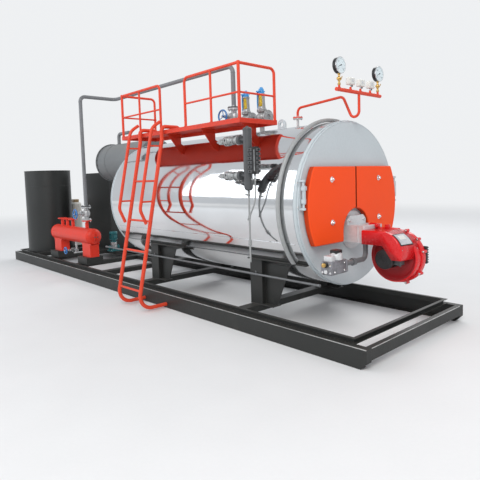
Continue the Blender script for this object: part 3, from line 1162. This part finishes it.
def makeGaugePipeWelds(s):
    rings = [weldRing((frontX + s["x"], y, 2.4645), zAxis, 0.0125, 0.003, 24)
             for y in (*s["y"], *s["switchY"])]
    low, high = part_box("gauge_pipe")
    for y in (low.y, high.y):
        rings.append(ringTube(0.0165, 0.0028, (frontX + s["x"], y + (0.003 if y < 0 else -0.003), 2.445),
                              yAxis, 28, 8))
    x, r = frontX + s["siphonX"], s["siphonBolts"]
    pale = [revolve([(0.0545, -0.0004), (0.0554, 0.001), (0.0554, 0.013)], (x, 0, drumTop + 0.088), zAxis,
                    40)]
    pale.append(revolve(rod(0.0143, -0.012, 0.088), (x, 0, drumTop), zAxis, 24))
    nuts = [stud(p, zAxis, 0.016) for p in circlePlaces((x, 0, drumTop + 0.114), zAxis, r, 4)]
    nuts += [hexBolt(p, -zAxis, 0.016) for p in circlePlaces((x, 0, drumTop + 0.088), zAxis, r, 4)]
    rings.append(weldRing((x, 0, drumTop + 0.115), zAxis, 0.0155, 0.004, 28))
    rings.append(weldRing((x, 0, drumTop + 0.002), zAxis, 0.0165, 0.005, 28))
    makePiece("gauge_pipe_welds", [(rings, railPaint), (pale + nuts, zinc)])


makeGauges(gaugeSettings)
makeDialNumbers(gaugeSettings)
makeSwitches(gaugeSettings)
makeGaugePipeWelds(gaugeSettings)
print("gauges and switches made")


# Water column, level gauge, shut-off valves and drains

columnSettings = {"x": -0.575, "y": -0.93, "low": 1.486, "high": 2.13, "radius": 0.0445, "gaugeX": 0.095,
                  "gaugeY": -0.005, "gauge": (1.65, 1.92), "clamps": 6, "valveZ": (2.0, 1.64), "branchX": 0.4,
                  "barrel": 0.0485, "holes": 6, "drainLow": 0.76, "sideBend": 1.4, "sideJoin": 1.22}


def makeColumn(s):
    at = np.array([frontX + s["x"], s["y"], s["low"]])
    r, h = s["radius"], s["high"] - s["low"]
    t = np.linspace(0, pi / 2, 9)
    cone = [(0.018 + (r - 0.018) * sin(v), 0.036 * (1 - cos(v)) * 0.9 + 0.0036 * v) for v in t]
    dome = [(0.016 + (r - 0.016) * cos(v), h - 0.03 + 0.02 * sin(v)) for v in t]
    shell = revolve([(0.012, 0.0)] + cone + dome + [(0.016, h - 0.004), (0.013, h)], at, zAxis, 48)
    band = revolve([(r - 0.002, 0.602), (r + 0.003, 0.603), (r + 0.003, 0.613), (r - 0.002, 0.614)], at,
                   zAxis, 48, closed=True)
    rings = [weldRing(at + [0, 0, z], zAxis, r + 0.0003, 0.003) for z in (0.04, h - 0.032)]
    makePiece("column_body", [([shell, band] + rings, columnPaint)], ("water_column",),
              angle=40)


def makeLevelGauge(s):
    # square core whose corner toward the camera is cut for the glass, with clamps round its other sides
    low, high = s["gauge"]
    at = np.array([frontX + s["x"] + s["gaugeX"], s["y"] + s["gaugeY"], low])
    long = high - low
    core = prism([(-0.034, -0.034), (0.01, -0.034), (0.034, -0.01), (0.034, 0.034), (-0.034, 0.034)], at,
                 xAxis, yAxis, (0, 0, long))
    black, bolts = [], []
    step = (long - 0.016) / s["clamps"]
    outline = [(-0.045, -0.045), (0.004, -0.045), (0.004, -0.036), (0.036, -0.004), (0.045, -0.004),
               (0.045, 0.045), (-0.045, 0.045)]
    for k in range(s["clamps"]):
        z = 0.008 + step * k + 0.006
        black.append(prism(outline, at + [0, 0, z], xAxis, yAxis, (0, 0, step - 0.012)))
        middle = z + step / 2 - 0.006
        bolts.append(stud(at + [-0.02, -0.045, middle], -yAxis, 0.015))
        bolts.append(stud(at + [0.045, 0.02, middle], xAxis, 0.015))
    way = np.array([1, -1, 0]) / sqrt(2)
    across = np.array([1, 1, 0]) / sqrt(2)
    glass = prism([(-0.0055, 0.03), (0.0055, 0.03), (0.0055, long - 0.03), (-0.0055, long - 0.03)],
                  at + [0.022, -0.022, 0] + way * 0.0003, across, zAxis, way * 0.003)
    arms = []
    for z in (0.03, long - 0.03):
        start = at + [-s["gaugeX"] + 0.043, -s["gaugeY"], z]
        arms.append(revolve(rod(0.012, 0, 0.022), start, xAxis, 20))
        arms.append(revolve(rimmed(0.019, 0.021, 0.003, 0.015, 0.002), start, xAxis, 6))
    small = at + [0, -s["gaugeY"], 0]
    silver = [revolve([(0.009, 0.0), (0.014, -0.003), (0.014, -0.014), (0.008, -0.018), (0.008, -0.036),
                       (0.013, -0.04), (0.013, -0.062), (0.009, -0.066)][::-1], small, zAxis, 16)]
    silver.append(revolve([(0.006, 0.0), (0.006, 0.03), (0.009, 0.032), (0.009, 0.04)], small + [0, 0, -0.05],
                          -yAxis, 14))
    makePiece("level_body", [(core, blackPlastic), (black + arms, ironPaint), (bolts, blackPlastic),
                             (glass, gaugeGlass), (silver, silverPaint)], ("level_gauge",),
                            angle=30)


def makeColumnValves(s):
    silver, dark, small = [], [], []
    back = -xAxis
    for z in s["valveZ"]:
        at = np.array([frontX + s["x"], s["y"], z])
        dark.append(revolve([(0.017, 0.042), (0.017, 0.093), (0.045, 0.093), (0.048, 0.095), (0.048, 0.117),
                             (0.045, 0.119)], at, back, 40))
        body = [(0.046, 0.121), (0.048, 0.123), (0.048, 0.14), (0.045, 0.143), (0.034, 0.15), (0.031, 0.168),
                (0.034, 0.184), (0.041, 0.188), (0.042, 0.19), (0.042, 0.22), (0.036, 0.227), (0.033, 0.24),
                (0.036, 0.251), (0.046, 0.257), (s["barrel"], 0.262), (s["barrel"], 0.322), (0.045, 0.328),
                (0.03, 0.332), (0.026, 0.345), (0.018, 0.35), (0.018, 0.38)]
        silver.append(revolve(body, at, back, 48))
        silver.append(revolve(rimmed(0.02, 0.026, -0.027, 0.027, 0.004), at - [s["branchX"], 0, 0], zAxis,
                              28))
        tip = [(0.018, 0.418), (0.02, 0.421), (0.02, 0.436), (0.01, 0.46), (0.006, 0.47)]
        silver.append(revolve(tip, at, back, 24))
        reach = -sqrt(drumRadius ** 2 - (z - axisZ) ** 2) + 0.004
        silver.append(tube(np.array([at - [s["branchX"], 0, 0], [at[0] - s["branchX"], reach, z]]), 0.0165,
                           20))
        for k in range(s["holes"]):
            a = 2 * pi * (k + 0.5) / s["holes"] + 0.35
            way = np.array([0, cos(a), sin(a)])
            across = np.cross(way, [1, 0, 0])
            for d, hole, r, turn in ((0.292, 0.0125, s["barrel"], 0), (0.205, 0.0075, 0.042, 0.5)):
                w = way * cos(turn) + across * sin(turn)
                small.append(revolve(rod(hole, 0, 0.0022), at - [d, 0, 0] + w * (r - 0.0012), w, 18))
        for place in circlePlaces(at - [0.142, 0, 0], xAxis, 0.04, 4):
            silver.append(stud(place, back, 0.015))
        for place in circlePlaces(at - [0.093, 0, 0], xAxis, 0.04, 4):
            dark.append(hexBolt(place, xAxis, 0.015))
        for d, r in ((0.12, 0.0465), (0.1865, 0.04), (0.2605, 0.0475), (0.3255, 0.0465)):
            small.append(ringTube(r, 0.0022, at - [d, 0, 0], xAxis, 40, 8))
    makePiece("column_valve_bodies", [(silver, silverPaint), (dark, ironPaint), (small, blackRubber)],
              ("column_valves",), angle=40)


def makeDrains(s):
    at = np.array([frontX + s["x"], s["y"], 0.0])
    top = s["low"] + 0.002
    pipes = [tube(np.array([at + [0, 0, s["drainLow"]], at + [0, 0, top]]), 0.01, 16)]
    side = rounded([at + [s["gaugeX"], 0, s["gauge"][0] - 0.06], at + [s["gaugeX"], 0, s["sideBend"] - 0.01],
                    at + [0.022, 0, s["sideJoin"] + 0.03], at + [0, 0, s["sideJoin"]]], 0.075, 14)
    pipes.append(tube(side, 0.0078, 14))
    nut = [(0.013, 0), (0.0165, 0.003), (0.0165, 0.02), (0.013, 0.023), (0.0125, 0.036), (0.016, 0.04),
           (0.016, 0.052), (0.012, 0.055)]
    pipes.append(revolve(nut, at + [0, 0, top - 0.06], zAxis, 20))
    pipes.append(revolve([(0.009, 0), (0.009, 0.034), (0.011, 0.036), (0.011, 0.044)],
                         at + [0.0, 0, top - 0.04], -yAxis, 14))
    pipes.append(revolve([(0.012, 0.93), (0.019, 0.934), (0.019, 0.95), (0.015, 0.953), (0.015, 0.963),
                          (0.019, 0.966), (0.019, 0.982), (0.012, 0.986)], at, zAxis, 20))
    pipes.append(revolve(rimmed(0.011, 0.0145, -0.016, 0.016, 0.004), at + [0, 0, s["sideJoin"]], zAxis, 18))
    makePiece("drain_pipes", [(pipes, silverPaint)], ("column_drains",), angle=40)


makeColumn(columnSettings)
makeLevelGauge(columnSettings)
makeColumnValves(columnSettings)
makeDrains(columnSettings)
print("column made")


# Drum: hinge bolts, rims of the end plates, hoop feet, rivets and straps of the cladding

drumSettings = {"hingeY": 0.812, "hingeZ": 0.122, "bracketBolts": 0.115, "pinEnds": 0.142, "rivets": 28,
                "inset": 0.02}


def makeDrumDetails(s):
    low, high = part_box("front_plate")
    r = (high.z - low.z) / 2
    rim = [(r - 0.004, -0.003), (r, -0.003), (r, 0.0005), (r - 0.004, 0.0022), (r - 0.012, 0.0005)]
    plate, bolts = [], []
    for x, way in ((frontX, 1), (backX, -1)):
        plate.append(revolve(rim, (x, 0, axisZ), (way, 0, 0), 120, closed=True))
    for x in (frontX - s["inset"], backX + s["inset"]):
        plate.append(weldRing((x, 0, axisZ), xAxis, drumRadius + 0.001, 0.004, 120))
    z = axisZ + s["hingeZ"]
    for side in (-1, 1):
        for lift in (-s["bracketBolts"], s["bracketBolts"]):
            bolts.append(hexBolt((frontX + 0.0005, side * (s["hingeY"] + 0.04), z + lift), xAxis, 0.018))
        for way in (-1, 1):
            pin = (frontX + 0.036, side * s["hingeY"], z + way * s["pinEnds"])
            bolts.append(revolve([(0.011, 0), (0.011, 0.003), (0.008, 0.004)], pin, (0, 0, way), 20))
    makePiece("plate_rims", [(plate, platePaint), (bolts, zinc)])


def makeRivets(s):
    # a row of rivets along each lap seam
    low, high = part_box("lap_seams")
    rivets = []
    tilt = asin(-((low.z + high.z) / 2 - axisZ) / drumRadius)
    for side in (-1, 1):
        way = np.array([0, side * cos(tilt), -sin(tilt)])
        for k in range(s["rivets"]):
            x = low.x + 0.05 + (high.x - low.x - 0.1) * k / (s["rivets"] - 1)
            at = np.array([x, 0, axisZ]) + way * (drumRadius + 0.0038)
            rivets.append(revolve([(0.004, 0), (0.0038, 0.001), (0.0022, 0.0019)], at, way, 10))
    makePiece("seam_rivets", [(rivets, zinc)])


makeDrumDetails(drumSettings)
makeRivets(drumSettings)
print("drum made")


# Platform: kick rim, rail feet, weld beads of the rails, gussets and ladder

platformSettings = {"y": -0.87, "width": 0.565, "low": 2.19, "top": 2.24, "front": -0.745, "long": 2.45,
                    "gussets": (1.05, 1.79, 2.53), "post": 0.017, "ladderX": (-2.149, -2.661),
                    "rungs": (1.61, 1.115, 0.74, 0.27), "lean": 12.0, "foot": (-1.3, 0.24), "railHigh": 0.562,
                    "midRail": 0.47, "onPost": 0.0172, "halfRung": 0.0245}


def makePlatform(s):
    beads = []
    x1 = frontX + s["front"]
    x0 = x1 - s["long"]
    near, far = s["y"], s["y"] + s["width"]
    post = s["post"]
    ends = [(x1 - post, near + post), (x1 - post, far - post), (x0 + post, near + post),
            (x0 + post, far - post)]
    (fLow, fHigh), (rLow, rHigh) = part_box("rail_front"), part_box("rail_rear")
    ends += [(fLow.x + 0.016, near + post), (rHigh.x - 0.016, near + post)]
    ends += [((fLow.x + fHigh.x) / 2 + 0.01, near + post), ((rLow.x + rHigh.x) / 2 - 0.017, near + post)]
    for x, y in ends:
        beads.append(weldRing((x, y, s["top"] + 0.0025), zAxis, post + 0.0005, 0.004, 28))
    mid, out = s["top"] + s["railHigh"] * s["midRail"], s["onPost"]
    for x, y in ends[:4]:
        inward = (out if x == x0 + post else -out, out if y == near + post else -out)
        beads.append(ringTube(0.0113, 0.0026, (x + inward[0], y, mid), xAxis, 20, 6))
        beads.append(ringTube(0.0113, 0.0026, (x, y + inward[1], mid), yAxis, 20, 6))
    # a bead along the joint between the deck's edge and each gusset
    for at in s["gussets"]:
        x = frontX - at
        for side in (-0.0045, 0.0045):
            beads.append(tube(np.array([(x + side, far - 0.24, s["low"] - 0.001),
                    (x + side, far - 0.032, s["low"] - 0.001)]), 0.0035, 8))
    lean = radians(s["lean"])
    for x in s["ladderX"]:
        for z in s["rungs"]:
            y = s["foot"][0] + (z - s["foot"][1]) * tan(lean)
            way = 1 if x == min(s["ladderX"]) else -1
            beads.append(ringTube(0.0138, 0.0032, (frontX + x + way * s["halfRung"], y, z), xAxis, 24, 6))
    makePiece("platform_beads", [(beads, railPaint)])


makePlatform(platformSettings)
print("platform made")


# Skid and legs: weld beads, stiffeners' edges, conduit clips and its end fittings

skidSettings = {"z": 0.228, "legs": (3.19, 1.145), "legY": (0.51, 0.63), "conduit": (-0.642, 0.56, 0.012),
                "clips": (3.95, 3.19, 2.55, 1.85, 1.145, 0.5, -0.15)}


def makeSkidDetails(s):
    dark, clips = [], []
    for lead in s["legs"]:
        for side in (-1, 1):
            y0, y1 = (side * y for y in s["legY"])
            for path in ([(lead - 0.09, y1, s["z"]), (lead + 0.254, y1, s["z"])],
                         [(lead - 0.09, y0, s["z"]), (lead - 0.09, y1, s["z"])]):
                dark.append(tube(np.array(path) + [0, 0, 0.001], 0.005, 8))
            dark.append(tube(np.array([(lead + 0.09, y1 - side * 0.066, 0.242),
                    (lead + 0.09, y1 - side * 0.066, 0.728)]), 0.005, 8))
            dark.append(tube(np.array([(lead - 0.088, y1, 0.7285), (lead + 0.092, y1, 0.7285)]), 0.004, 8))
    y, z, r = s["conduit"]
    for x in s["clips"]:
        clips.append(ringTube(r + 0.001, 0.0022, (x, y, z), xAxis, 24, 6))
        if any(abs(x - lead) < 0.1 for lead in s["legs"]):
            clips.append(roundBox((x - 0.008, y + 0.006, z + r - 0.001),
                    (x + 0.008, y + 0.014, z + r + 0.022), 0.001))
            clips.append(hexBolt((x, y + 0.006, z + r + 0.012), -yAxis, 0.009))
    low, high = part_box("conduit")
    for x, way in ((low.x, 1), (high.x, -1)):
        clips.append(revolve([(r + 0.0005, 0.001), (r + 0.004, 0.002), (r + 0.004, 0.026),
                              (r + 0.0005, 0.028)], (x, y, z), (way, 0, 0), 8, closed=True))
    # bare edges of the beams' top flanges, proud by half a millimetre where the frame's bounds allow it
    low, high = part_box("long_beams")
    rise = high.z + 0.0006
    worn = [roundBox((low.x + 0.001, low.y - 0.0006, high.z - 0.0055), (high.x - 0.001, low.y + 0.0045, rise),
                     0.0004), roundBox((low.x + 0.001, high.y - 0.005, high.z - 0.0055),
            (high.x - 0.001, high.y - 0.0002, rise), 0.0004)]
    low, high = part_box("end_members")
    worn += [roundBox((x, low.y + 0.005, high.z - 0.0055), (x + 0.0048, high.y - 0.005, high.z + 0.0005),
                      0.0004) for x in (low.x + 0.0002, high.x - 0.0044)]
    makePiece("worn_edges", [(worn, wornEdge)])
    makePiece("skid_beads", [(dark, skidPaint)])
    makePiece("conduit_clips", [(clips, conduitZinc)])


makeSkidDetails(skidSettings)
print("skid made")


# Tanks, economizer, softener and pump

tankSettings = {"round": (-3.3, -0.39), "radius": 0.45, "top": 1.88, "seam": 1.56,
                "square": (-3.05, -1.98, 0.335, 0.84), "squareTop": 1.805, "foot": 0.228}


def makeTanks(s):
    x, y = s["round"]
    dark = [weldRing((x, y, z), zAxis, s["radius"] + 0.0005, 0.004, 96)
            for z in (s["foot"] + 0.004, s["seam"], s["top"] - 0.009)]
    dark.append(ringTube(s["radius"] + 0.001, 0.004, (x, y, s["top"] - 0.004), zAxis, 96, 8))
    x0, x1, y0, y1 = s["square"]
    for z in (s["foot"] + 0.003, s["squareTop"] - 0.009):
        rim = np.array([(x0, y0, z), (x1, y0, z), (x1, y1, z), (x0, y1, z)])
        for a, b in zip(rim, np.roll(rim, -1, axis=0)):
            dark.append(tube(np.array([a, b]), 0.004, 8))
    for px, py in ((x0, y0), (x1, y0), (x1, y1), (x0, y1)):
        dark.append(tube(np.array([(px, py, s["foot"]), (px, py, s["squareTop"] - 0.008)]), 0.004, 8))
    makePiece("tank_seams", [(dark, tankPaint)])


softenerSettings = {"at": (-3.44, 0.24, 0.228), "radius": 0.125, "height": 0.9, "cone": 0.06, "head": 0.075}


def makeSoftener(s):
    at, r, h = np.array(s["at"]), s["radius"], s["height"]
    t = np.linspace(0, pi / 2, 10)
    foot = [(r - 0.02, 0.0), (r - 0.006, 0.002), (r, 0.008)]
    dome = [(0.052 + (r - 0.052) * cos(v), h + s["cone"] * sin(v)) for v in t]
    vessel = revolve(foot + dome, at, zAxis, 64)
    bands = [ringTube(r + 0.0005, 0.002, at + [0, 0, z], zAxis, 64, 6) for z in (0.085, 0.815)]
    collar = revolve([(0.05, 0), (0.056, 0.003), (0.056, 0.014), (0.05, 0.016)],
                     at + [0, 0, h + s["cone"] - 0.008], zAxis, 32)
    head = roundBox(at + [-0.07, -0.058, h + 0.068], at + [0.07, 0.058, h + 0.12], 0.01)
    lid = [(0.06, 0.0), (s["head"], 0.004), (s["head"], 0.01), (0.062, 0.016)]
    lid = revolve(lid, at + [0, 0, h + 0.056], zAxis, 40)
    makePiece("softener_vessel", [([vessel] + bands, softenerWhite), ([lid, collar, head], tanPlastic)],
              ("softener",), angle=40)


pumpSettings = {"at": (-1.845, 0.2985, 0.228), "body": 0.055, "motor": 0.08, "bodyTop": 0.22,
                "motorTop": 0.39, "fins": 20}


def makePump(s):
    at = np.array(s["at"])
    cast = [roundBox(at + [-0.09, -0.11, 0.0], at + [0.09, 0.11, 0.02], 0.004),
            roundBox(at + [-0.062, -0.085, 0.016], at + [0.062, 0.085, 0.04], 0.008)]
    cast.append(revolve([(0.03, -0.1), (0.046, -0.1), (0.046, -0.088), (0.028, -0.084), (0.028, 0.084),
                         (0.046, 0.088), (0.046, 0.1), (0.03, 0.1)], at + [0, 0, 0.072], yAxis, 32))
    cast.append(revolve([(s["body"] + 0.008, 0.03), (s["body"] + 0.008, 0.052), (s["body"], 0.06)], at, zAxis,
                        40))
    sleeve = revolve([(s["body"] - 0.004, 0.058), (s["body"] - 0.002, 0.06), (s["body"] - 0.002, 0.178),
                      (s["body"] - 0.004, 0.18)], at, zAxis, 48)
    cast.append(revolve([(s["body"], 0.178), (s["body"] + 0.008, 0.182), (s["body"] + 0.008, 0.198),
                         (0.04, 0.206), (0.04, 0.216), (0.066, 0.22), (0.066, 0.232)], at, zAxis, 40))
    m, low, high = s["motor"], s["bodyTop"] + 0.008, s["motorTop"]
    cast.append(revolve([(m - 0.006, low), (m, low + 0.006), (m, low + 0.018), (m - 0.012, low + 0.022),
                         (m - 0.012, high - 0.052), (m - 0.002, high - 0.048), (m, high - 0.044),
                         (m, high - 0.01), (m - 0.008, high), (0.02, high)], at, zAxis, 48))
    ways = circle(equalTurns(s["fins"]), xAxis, yAxis)
    cast += fins(at, zAxis, ways, m - 0.016, 0.0014, 0.015, low + 0.02, high - low - 0.07)
    cast.append(roundBox(at + [0.05, -0.036, low + 0.035], at + [0.079, 0.036, low + 0.095], 0.005))
    bolts = [stud(at + [sx * 0.074, sy * 0.095, 0.019], zAxis, 0.014) for sx in (-1, 1) for sy in (-1, 1)]
    rods = [revolve(rod(0.004, 0.04, 0.196), at + [0.06 * cos(a), 0.06 * sin(a), 0], zAxis, 10)
            for a in np.arange(4) * pi / 2 + pi / 4]
    makePiece("pump_body", [(cast, tealPaint), ([sleeve] + rods + bolts, zinc)],
              ("feed_pump",), angle=35)


ecoSettings = {"z": 1.958, "radius": 0.32, "bolts": 24, "flueX": -0.88, "flueZ": (2.2785, 2.395)}


def makeEconomizerDetails(s):
    low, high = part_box("economizer")
    z, r, x = s["z"], s["radius"], s["flueX"]
    rings = [weldRing((at, 0, z), xAxis, r + 0.0005, 0.004, 80)
             for at in (low.x + 0.024, low.x + 0.3, high.x - 0.008)]
    rings.append(weldRing((x, 0, s["flueZ"][0]), zAxis, 0.031, 0.005, 28))
    rings.append(weldRing((x, 0, s["flueZ"][1]), zAxis, 0.0303, 0.003, 28))
    bolts = [stud(p, xAxis, 0.018) for p in circlePlaces((low.x + 0.02, 0, z), xAxis, r + 0.01, s["bolts"])]
    makePiece("economizer_beads", [(rings, ecoPaint), (bolts, ironPaint)])


makeTanks(tankSettings)
makeSoftener(softenerSettings)
makePump(pumpSettings)
makeEconomizerDetails(ecoSettings)
print("tanks and pump made")
